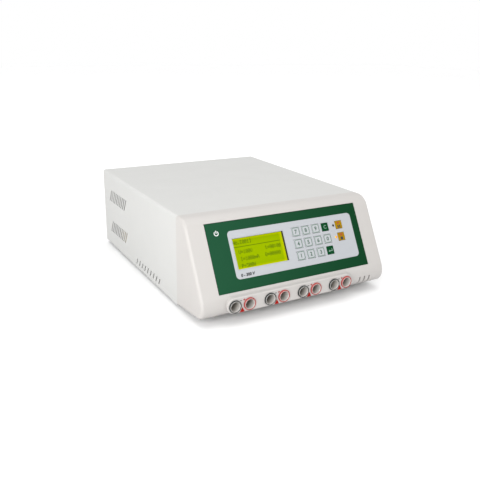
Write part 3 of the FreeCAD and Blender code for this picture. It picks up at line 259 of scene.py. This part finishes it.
across = ramp(nt, math_node(nt, "ADD", sep.outputs["X"], math_node(nt, "MULTIPLY", noise(nt, vec, 900.0), 0.0004)), 0.0, 1.0, lamp_lo.x + 0.0009, lamp_hi.x - 0.0008)
lit = mix(nt, across, (1.0, 0.40, 0.012), (0.55, 0.020, 0.003))
nt.links.new(lit, bs.inputs["Base Color"])
nt.links.new(lit, bs.inputs["Emission Color"])
bs.inputs["Emission Strength"].default_value = 0.55
bs.inputs["Specular IOR Level"].default_value = 0.2
nt.links.new(ramp(nt, noise(nt, vec, 1500.0), 0.14, 0.24), bs.inputs["Roughness"])
bump(nt, bs, noise(nt, vec, 2400.0), 0.08, 0.00003)
M["led_on"] = m

# the display: backlit yellow-green, brighter along its edges, with faint blotches
m, nt, bs = new_mat("display_glow")
vec = coords(nt)
glass_lo, glass_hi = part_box("lcd_surround")
sep = nt.nodes.new("ShaderNodeSeparateXYZ")
nt.links.new(vec, sep.inputs[0])
ux = ramp(nt, sep.outputs["X"], 0.0, 1.0, glass_lo.x + 4.6 * MM, glass_hi.x - 4.6 * MM)
uz = ramp(nt, sep.outputs["Z"], 0.0, 1.0, glass_lo.z + 4.2 * MM, glass_hi.z - 4.2 * MM)


def edge_glow(u, width):
    a = ramp(nt, u, 1.0, 0.0, 0.0, width)
    b = ramp(nt, u, 0.0, 1.0, 1.0 - width, 1.0)
    return math_node(nt, "ADD", math_node(nt, "MAXIMUM", a, 0.0), math_node(nt, "MAXIMUM", b, 0.0))


glow = math_node(nt, "MINIMUM", math_node(nt, "ADD", edge_glow(ux, 0.07), edge_glow(uz, 0.09)), 1.0)
col = mix(nt, glow, (0.152, 0.214, 0.0001), (0.335, 0.360, 0.0001))
mp = nt.nodes.new("ShaderNodeMapping")
mp.inputs["Rotation"].default_value = (0.0, 0.0, 0.0)
nt.links.new(vec, mp.inputs["Vector"])
col = mix(nt, ramp(nt, noise(nt, vec, 30.0, 3.0), 0.0, 0.10, 0.3, 0.7), col, (0.14, 0.215, 0.0005))
nt.links.new(col, bs.inputs["Base Color"])
nt.links.new(col, bs.inputs["Emission Color"])
bs.inputs["Emission Strength"].default_value = 0.62
bs.inputs["Specular IOR Level"].default_value = 0.0
bs.inputs["Roughness"].default_value = 0.22
bump(nt, bs, noise(nt, vec, 1700.0, 1.0), 0.04, 0.00002)
M["lcd"] = m
M["lcd_ink"] = surface("display_segment", (0.022, 0.060, 0.0003), rough=0.4, spread=0.06, grain=(5200.0, 0.05, 0.00001), blot=90.0, spec=0.05)

NODE_MAT = {
    "top_cover": "cover", "rear_panel": "cover", "front_bezel": "bezel", "base_tray": "zinc", "feet": "rubber", "foot_screws": "steel",
    "cover_screws": "steel", "bezel_screws": "steel", "panel_plate": "plate", "panel_overlay": "green", "keypad_face": "grey",
    "lcd_surround": "black", "lcd_glass": "lcd", "lcd_board": "board", "keypad_board": "board", "panel_studs": "brass",
    "tact_switches": "black", "led_idle": "led_off", "led_active": "led_on", "socket_collars_black": "collar_black",
    "socket_collars_red": "collar_red", "socket_insulators": "well", "socket_contacts": "brass", "socket_nuts": "nylon",
    "main_board": "board", "board_standoffs": "brass", "board_screws": "steel", "transformer_core": "core", "transformer_coil": "tape",
    "heatsink": "alu", "power_transistors": "black", "capacitors": "can", "choke": "ferrite", "terminal_block": "terminal",
    "output_leads": "lead", "ribbon_cable": "ribbon", "fan_frame": "black", "fan_guard": "chrome", "fan_screws": "steel",
    "mains_inlet": "black", "inlet_pins": "tin", "switch_housing": "black", "earth_terminal": "brass", "fan_rotor": "black",
    "fuse_drawer": "black", "switch_rocker": "black",
}
KEYS = {"key_7": "7", "key_8": "8", "key_9": "9", "key_4": "4", "key_5": "5", "key_6": "6", "key_0": "0", "key_1": "1", "key_2": "2", "key_3": "3"}
for k in KEYS:
    NODE_MAT[k] = "key"
NODE_MAT["key_clear"] = NODE_MAT["key_enter"] = "key_green"
NODE_MAT["key_start"] = NODE_MAT["key_stop"] = "key_ochre"
for name, key in NODE_MAT.items():
    o = N[name]
    o.data.materials.clear()
    o.data.materials.append(M[key])

# ------------------------------------------------------------------ panel frame
press = [j for j in frame["joints"] if j["name"] == "key_5_press"][0]
NRM = -Vector(press["axis"]).normalized()
UP = NRM.cross(Vector((1, 0, 0))).normalized()
if UP.z < 0:
    UP = -UP


lip = N["lcd_surround"].data
lip.materials.append(M["grey"])
high = max(v.co.dot(NRM) for v in lip.vertices)
for poly in lip.polygons:
    if poly.normal.dot(NRM) > 0.99 and poly.center.dot(NRM) > high - 0.0001:
        poly.material_index = 1


def top_of(node):
    """Highest level of a node along the panel's outward normal, and the centre of its footprint there."""
    vs = [v.co for v in N[node].data.vertices]
    level = max(v.dot(NRM) for v in vs)
    tops = [v for v in vs if v.dot(NRM) > level - 0.00002]
    cx = (min(v.x for v in tops) + max(v.x for v in tops)) / 2
    cu = (min(v.dot(UP) for v in tops) + max(v.dot(UP) for v in tops)) / 2
    return level, cx, cu


def span(node):
    vs = [v.co for v in N[node].data.vertices]
    return min(v.x for v in vs), max(v.x for v in vs), min(v.dot(UP) for v in vs), max(v.dot(UP) for v in vs)


def pm(cx, cu, level):
    """Matrix from flat drawing coordinates (x right, y up the slope, z out) to the part's frame."""
    o = Vector((cx, 0, 0)) + UP * cu + NRM * level
    return Matrix(((1, UP.x, NRM.x, o.x), (0, UP.y, NRM.y, o.y), (0, UP.z, NRM.z, o.z), (0, 0, 0, 1)))


def finish_obj(bm, name, mat, body, matrix=None, smooth=False, bevel=None):
    if matrix is not None:
        bmesh.ops.transform(bm, matrix=matrix, verts=bm.verts)
    bmesh.ops.recalc_face_normals(bm, faces=bm.faces)
    me = bpy.data.meshes.new(name)
    bm.to_mesh(me)
    bm.free()
    o = bpy.data.objects.new(name, me)
    bpy.context.scene.collection.objects.link(o)
    me.materials.append(mat)
    if smooth:
        for p in me.polygons:
            p.use_smooth = True
    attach(o, body)
    return o


def rounded(w, h, r, n=6):
    pts = []
    for cx, cy, a0 in ((w / 2 - r, h / 2 - r, 0), (-w / 2 + r, h / 2 - r, 90), (-w / 2 + r, -h / 2 + r, 180), (w / 2 - r, -h / 2 + r, 270)):
        for i in range(n + 1):
            a = math.radians(a0 + 90.0 * i / n)
            pts.append((cx + r * math.cos(a), cy + r * math.sin(a)))
    return pts


def add_prism(bm, pts, z0, z1, dx=0.0, dy=0.0):
    lo = [bm.verts.new((x + dx, y + dy, z0)) for x, y in pts]
    hi = [bm.verts.new((x + dx, y + dy, z1)) for x, y in pts]
    bm.faces.new(hi)
    bm.faces.new(list(reversed(lo)))
    n = len(pts)
    for i in range(n):
        bm.faces.new((lo[i], lo[(i + 1) % n], hi[(i + 1) % n], hi[i]))


def add_ring(bm, outer, inner, z0, z1, dx=0.0, dy=0.0):
    n = len(outer)
    q = []
    for pts, z in ((outer, z0), (outer, z1), (inner, z1), (inner, z0)):
        q.append([bm.verts.new((x + dx, y + dy, z)) for x, y in pts])
    for i in range(n):
        j = (i + 1) % n
        for a in range(4):
            b = (a + 1) % 4
            bm.faces.new((q[a][i], q[a][j], q[b][j], q[b][i]))


def text_mesh(body, size, extrude, weight=0.0, shear=0.0):
    cu = bpy.data.curves.new("legend", "FONT")
    cu.body = body
    cu.size = size
    cu.extrude = extrude
    cu.align_x = "CENTER"
    cu.align_y = "CENTER"
    cu.resolution_u = 4
    cu.offset = weight
    cu.shear = shear
    o = bpy.data.objects.new("legend_tmp", cu)
    bpy.context.scene.collection.objects.link(o)
    bpy.context.view_layer.update()
    dg = bpy.context.evaluated_depsgraph_get()
    me = bpy.data.meshes.new_from_object(o.evaluated_get(dg))
    bpy.data.objects.remove(o)
    bm = bmesh.new()
    bm.from_mesh(me)
    bpy.data.meshes.remove(me)
    bmesh.ops.remove_doubles(bm, verts=bm.verts, dist=1e-7)
    xs = [v.co.x for v in bm.verts]
    ys = [v.co.y for v in bm.verts]
    c = Vector(((min(xs) + max(xs)) / 2, (min(ys) + max(ys)) / 2, 0))
    bmesh.ops.translate(bm, vec=-c, verts=bm.verts)
    return bm


INK = 0.00003
for node, digit in KEYS.items():
    level, cx, cu = top_of(node)
    bm = bmesh.new()
    add_ring(bm, rounded(10.6 * MM, 10.6 * MM, 2.4 * MM), rounded(8.9 * MM, 8.9 * MM, 1.5 * MM), 0.0, INK)
    ring = finish_obj(bm, node + "_outline", M["ring_ink"], node, pm(cx, cu, level + 0.00001))
    bm = text_mesh(digit, 6.9 * MM, INK, 0.20 * MM)
    finish_obj(bm, node + "_digit", M["digit_ink"], node, pm(cx, cu, level + 0.00001))


def strokes(bm, pts, w, z1=INK, closed=False):
    """A drawn line of constant width along points."""
    n = len(pts)
    idx = range(n if closed else n - 1)
    for i in idx:
        a, b = Vector((*pts[i], 0)), Vector((*pts[(i + 1) % n], 0))
        d = (b - a).normalized()
        s = Vector((-d.y, d.x, 0)) * w / 2
        a2, b2 = a - d * w / 2, b + d * w / 2
        add_prism(bm, [tuple((a2 - s).xy), tuple((b2 - s).xy), tuple((b2 + s).xy), tuple((a2 + s).xy)], 0.0, z1 + 0.000002 * i)


level, cx, cu = top_of("key_clear")
bm = text_mesh("C", 6.4 * MM, INK, 0.08 * MM)
finish_obj(bm, "key_clear_letter", M["pale_ink"], "key_clear", pm(cx, cu, level + 0.00001))
level, cx, cu = top_of("key_enter")
bm = bmesh.new()
strokes(bm, [(2.6 * MM, 1.9 * MM), (2.6 * MM, -0.9 * MM), (-1.6 * MM, -0.9 * MM)], 0.75 * MM)
add_prism(bm, [(-3.1 * MM, -0.9 * MM), (-1.2 * MM, -2.4 * MM), (-1.2 * MM, 0.6 * MM)], 0.0, INK * 1.3)
finish_obj(bm, "key_enter_arrow", M["pale_ink"], "key_enter", pm(cx, cu, level + 0.00001))
for node, up_shape, low_shape in (("key_start", "play", "bars"), ("key_stop", "bars", "square")):
    level, cx, cu = top_of(node)
    bm = bmesh.new()
    if up_shape == "play":
        add_prism(bm, [(-1.9 * MM, 0.7 * MM), (2.3 * MM, 2.5 * MM), (-1.9 * MM, 4.3 * MM)], 0.0, INK)
    else:
        for x in (-2.1, 0.6):
            add_prism(bm, [(x * MM, 0.7 * MM), ((x + 1.5) * MM, 0.7 * MM), ((x + 1.5) * MM, 4.3 * MM), (x * MM, 4.3 * MM)], 0.0, INK)
    finish_obj(bm, node + "_upper_symbol", M["rust_ink"], node, pm(cx, cu, level + 0.00001))
    bm = bmesh.new()
    if low_shape == "square":
        add_prism(bm, [(-2.0 * MM, -4.3 * MM), (2.0 * MM, -4.3 * MM), (2.0 * MM, -0.5 * MM), (-2.0 * MM, -0.5 * MM)], 0.0, INK)
    else:
        for x in (-2.2, 0.5):
            add_prism(bm, [(x * MM, -4.3 * MM), ((x + 1.7) * MM, -4.3 * MM), ((x + 1.7) * MM, -0.5 * MM), (x * MM, -0.5 * MM)], 0.0, INK)
    finish_obj(bm, node + "_lower_symbol", M["dark_ink"], node, pm(cx, cu, level + 0.00001))

# ------------------------------------------------------------------ printing on the grey face and the green panel, and a painted shadow strip on the green film
face_level = top_of("keypad_face")[0]
fx0, fx1, fu0, fu1 = span("keypad_face")
brow_u = fu1 + 20.3 * MM + 0.0
TOP_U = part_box("panel_overlay")


def pp(x, s_from_face_top):
    return x, fu1 - s_from_face_top


bm = text_mesh("0 - 300 V", 4.9 * MM, INK, 0.26 * MM, 0.15)
finish_obj(bm, "rating_legend", M["dark_ink"], "case", pm(-67.6 * MM, fu1 - 54.2 * MM, face_level + 0.00001))
green_level = top_of("panel_overlay")[0]
ox0, ox1, ou0, ou1 = span("panel_overlay")
# painted shadow: a thin near-black strip along the film's top and left edges, where the recess wall's shade falls
bm = bmesh.new()
bw = 0.45 * MM
add_prism(bm, [(ox0, ou1 - bw), (ox1, ou1 - bw), (ox1, ou1), (ox0, ou1)], 0.0, INK)
add_prism(bm, [(ox0, ou0), (ox0 + bw, ou0), (ox0 + bw, ou1 - bw), (ox0, ou1 - bw)], 0.0, INK * 0.8)
finish_obj(bm, "painted_recess_shadow_line", M["edge_ink"], "case", pm(0.0, 0.0, green_level + 0.00001))
bm = bmesh.new()
arc = [(2.6 * MM * math.sin(math.radians(a)), 2.6 * MM * math.cos(math.radians(a))) for a in range(38, 323, 12)]
strokes(bm, arc, 0.9 * MM)
strokes(bm, [(0.0, 0.4 * MM), (0.0, 3.0 * MM)], 0.9 * MM)
finish_obj(bm, "power_symbol", M["white_ink"], "case", pm(-97.3 * MM, fu1 - 0.6 * MM, green_level + 0.00001))

# ------------------------------------------------------------------ display content, drawn in cells
FONT = {
    "0": "01110 10001 10011 10101 11001 10001 01110", "1": "00100 01100 00100 00100 00100 00100 01110",
    "2": "01110 10001 00001 00010 00100 01000 11111", "3": "11111 00010 00100 00010 00001 10001 01110",
    "4": "00010 00110 01010 10010 11111 00010 00010", "5": "11111 10000 11110 00001 00001 10001 01110",
    "6": "00110 01000 10000 11110 10001 10001 01110", "7": "11111 00001 00010 00100 01000 01000 01000",
    "8": "01110 10001 10001 01110 10001 10001 01110", "9": "01110 10001 10001 01111 00001 00010 01100",
    "V": "10001 10001 10001 10001 10001 01010 00100", "A": "01110 10001 10001 11111 10001 10001 10001",
    "W": "10001 10001 10001 10101 10101 10101 01010", "m": "00000 00000 11010 10101 10101 10001 10001",
    "U": "10001 10001 10001 10001 10001 10001 01110", "I": "01110 00100 00100 00100 00100 00100 01110",
    "P": "11110 10001 10001 11110 10000 10000 10000", "t": "01000 01000 11100 01000 01000 01001 00110",
    "h": "10000 10000 10110 11001 10001 10001 10001", "=": "00000 00000 11111 00000 11111 00000 00000",
    ":": "00000 01100 01100 00000 01100 01100 00000", "[": "01110 01000 01000 01000 01000 01000 01110",
    "]": "01110 00010 00010 00010 00010 00010 01110", "N": "10001 10001 11001 10101 10011 10001 10001",
    "o": "00000 00000 01110 10001 10001 10001 01110", ".": "00000 00000 00000 00000 00000 01100 01100",
    "Q": "01110 10001 10001 10001 10101 10010 01101", " ": "00000 00000 00000 00000 00000 00000 00000",
}
lcd_level = top_of("lcd_glass")[0]
PW, PH = 0.535 * MM, 0.66 * MM


def cells(bm, text, x, s):
    """Rows of small square cells; x is the left end, s the middle of the line below the face's top edge."""
    u = fu1 - s + 3.5 * PH
    for i, ch in enumerate(text):
        for r, row in enumerate(FONT[ch].split()):
            for c, bit in enumerate(row):
                if bit == "1":
                    x0 = x + (i * 6 + c) * PW
                    y0 = u - (r + 1) * PH
                    add_prism(bm, [(x0, y0), (x0 + PW * 0.96, y0), (x0 + PW * 0.96, y0 + PH * 0.96), (x0, y0 + PH * 0.96)], 0.0, 0.00004)


bm = bmesh.new()
off = 20.3 * MM
for text, x, s in (("No.[001]", -77.0, 34.9), ("U=100V", -71.6, 46.6), ("I=1000mA", -70.8, 55.2), ("P=300W", -71.2, 63.6), ("t=00:00", -34.4, 46.2), ("Q=00000", -36.6, 54.8)):
    cells(bm, text, x * MM, s * MM - off)
y = fu1 - (40.4 * MM - off)
add_prism(bm, [(-77.2 * MM, y - 0.28 * MM), (-11.8 * MM, y - 0.28 * MM), (-11.8 * MM, y + 0.28 * MM), (-77.2 * MM, y + 0.28 * MM)], 0.0, 0.00004)
finish_obj(bm, "display_segments", M["lcd_ink"], "case", pm(0.0, 0.0, lcd_level + 0.00001))

# ------------------------------------------------------------------ socket strip marks
b_lo, b_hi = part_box("socket_collars_black")
r_lo, r_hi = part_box("socket_collars_red")
axis_z = (b_lo.z + b_hi.z) / 2
strip_y = b_hi.y - 0.02 * MM
XS = []


def solids_x(node):
    """Middle x of each separate solid of a node."""
    me = N[node].data
    bm = bmesh.new()
    bm.from_mesh(me)
    bmesh.ops.remove_doubles(bm, verts=bm.verts, dist=1e-6)
    seen, out = set(), []
    for v in bm.verts:
        if v in seen:
            continue
        stack, part = [v], []
        seen.add(v)
        while stack:
            w = stack.pop()
            part.append(w.co.copy())
            for e in w.link_edges:
                o = e.other_vert(w)
                if o not in seen:
                    seen.add(o)
                    stack.append(o)
        out.append((min(p.x for p in part) + max(p.x for p in part)) / 2)
    bm.free()
    return sorted(out)


blacks, reds = solids_x("socket_collars_black"), solids_x("socket_collars_red")

# the tubes' front rims are moulded in the collar colours
tube = N["socket_insulators"].data
tube.materials.append(M["collar_black"])
tube.materials.append(M["collar_red"])
mouth = min(v.co.y for v in tube.vertices)
for poly in tube.polygons:
    if poly.normal.y < -0.9 and poly.center.y < mouth + 0.05 * MM:
        to_black = min(abs(poly.center.x - x) for x in blacks)
        to_red = min(abs(poly.center.x - x) for x in reds)
        poly.material_index = 1 if to_black < to_red else 2


def on_strip(x, z):
    o = Vector((x, strip_y, z))
    return Matrix(((1, 0, 0, o.x), (0, 0, -1, o.y), (0, 1, 0, o.z), (0, 0, 0, 1)))


for i, (xb, xr) in enumerate(zip(blacks, reds), 1):
    xc = (xb + xr) / 2
    bm = bmesh.new()
    tri = [(-3.4 * MM, -3.3 * MM), (3.4 * MM, -3.3 * MM), (0.0, 3.1 * MM)]
    add_prism(bm, tri, 0.0, 0.00006)
    finish_obj(bm, "caution_triangle_%d" % i, M["red_ink"], "case", on_strip(xc, axis_z - 5.4 * MM))
    bm = bmesh.new()
    add_prism(bm, [(-1.3 * MM, -0.4 * MM), (1.3 * MM, -0.4 * MM), (1.3 * MM, 0.4 * MM), (-1.3 * MM, 0.4 * MM)], 0.0, 0.00006)
    finish_obj(bm, "minus_mark_%d" % i, M["dark_ink"], "case", on_strip(xc - 1.9 * MM, axis_z + 6.0 * MM))
    bm = bmesh.new()
    a, b = 0.42 * MM, 1.35 * MM
    add_prism(bm, [(-b, -a), (-a, -a), (-a, -b), (a, -b), (a, -a), (b, -a), (b, a), (a, a), (a, b), (-a, b), (-a, a), (-b, a)], 0.0, 0.00006)
    finish_obj(bm, "plus_mark_%d" % i, M["red_ink"], "case", on_strip(xc + 2.4 * MM, axis_z + 6.5 * MM))

# ------------------------------------------------------------------ stage, light, camera
bm = bmesh.new()
bmesh.ops.create_grid(bm, x_segments=1, y_segments=1, size=6.0)
me = bpy.data.meshes.new("floor")
bm.to_mesh(me)
bm.free()
floor = bpy.data.objects.new("floor", me)
bpy.context.scene.collection.objects.link(floor)
fm, fnt, fbs = new_mat("floor_painted_shade_near")
sep = fnt.nodes.new("ShaderNodeSeparateXYZ")
fnt.links.new(coords(fnt), sep.inputs[0])
# painted shade: the floor colour is darker within about 0.3 m of the object and fades to white by 0.8 m, deepening the
# shadows near it
away = math_node(fnt, "SQRT", math_node(fnt, "ADD", math_node(fnt, "POWER", math_node(fnt, "ABSOLUTE", sep.outputs["X"]), 2.0), math_node(fnt, "POWER", math_node(fnt, "ABSOLUTE", sep.outputs["Y"]), 2.0)))
fnt.links.new(mix(fnt, ramp(fnt, away, 0.0, 1.0, 0.30, 0.80), (0.80, 0.80, 0.80), (1.0, 1.0, 1.0)), fbs.inputs["Base Color"])
fbs.inputs["Roughness"].default_value = 0.75
fbs.inputs["Specular IOR Level"].default_value = 0.1
me.materials.append(fm)


def area(name, loc, target, size, power, colour=(1, 1, 1)):
    li = bpy.data.lights.new(name, "AREA")
    li.shape = "RECTANGLE"
    li.size, li.size_y = size
    li.energy = power
    li.color = colour
    o = bpy.data.objects.new(name, li)
    bpy.context.scene.collection.objects.link(o)
    o.location = loc
    d = Vector(target) - Vector(loc)
    o.rotation_euler = d.to_track_quat("-Z", "Y").to_euler()
    return o


area("key_light", (-0.80, -0.85, 0.42), (-0.05, -0.12, 0.06), (0.6, 0.6), 8.4)
area("side_light", (-1.30, -0.15, 0.45), (-0.12, 0.0, 0.06), (0.9, 0.5), 3.4)
area("front_light", (0.57, -1.34, 0.90), (-0.06, -0.14, 0.07), (0.36, 0.36), 2.2)
area("top_light", (0.0, 0.05, 1.5), (0, 0.05, 0.0), (1.5, 1.5), 10.4)
world = bpy.data.worlds.new("studio")
bpy.context.scene.world = world
world.use_nodes = True
bg = world.node_tree.nodes["Background"]
bg.inputs[0].default_value = (1, 1, 1, 1)
bg.inputs[1].default_value = 1.0
bpy.context.scene.view_settings.view_transform = "Standard"
bpy.context.scene.view_settings.look = "None"

cam_data = bpy.data.cameras.new("camera")
cam = bpy.data.objects.new("camera", cam_data)
bpy.context.scene.collection.objects.link(cam)
az, el, roll = math.radians(-29.896), math.radians(18.948), math.radians(1.175)
back = Vector((math.sin(az) * math.cos(el), -math.cos(az) * math.cos(el), math.sin(el)))
right = Vector((0, 0, 1)).cross(back).normalized()
up = back.cross(right)
r2 = right * math.cos(roll) + up * math.sin(roll)
u2 = -right * math.sin(roll) + up * math.cos(roll)
cam.matrix_world = Matrix(((r2.x, u2.x, back.x, -0.39583), (r2.y, u2.y, back.y, -0.71073), (r2.z, u2.z, back.z, 0.31554), (0, 0, 0, 1)))
cam_data.sensor_width = 36.0
cam_data.lens = 43.93
cam_data.clip_start, cam_data.clip_end = 0.02, 30.0
bpy.context.scene.camera = cam
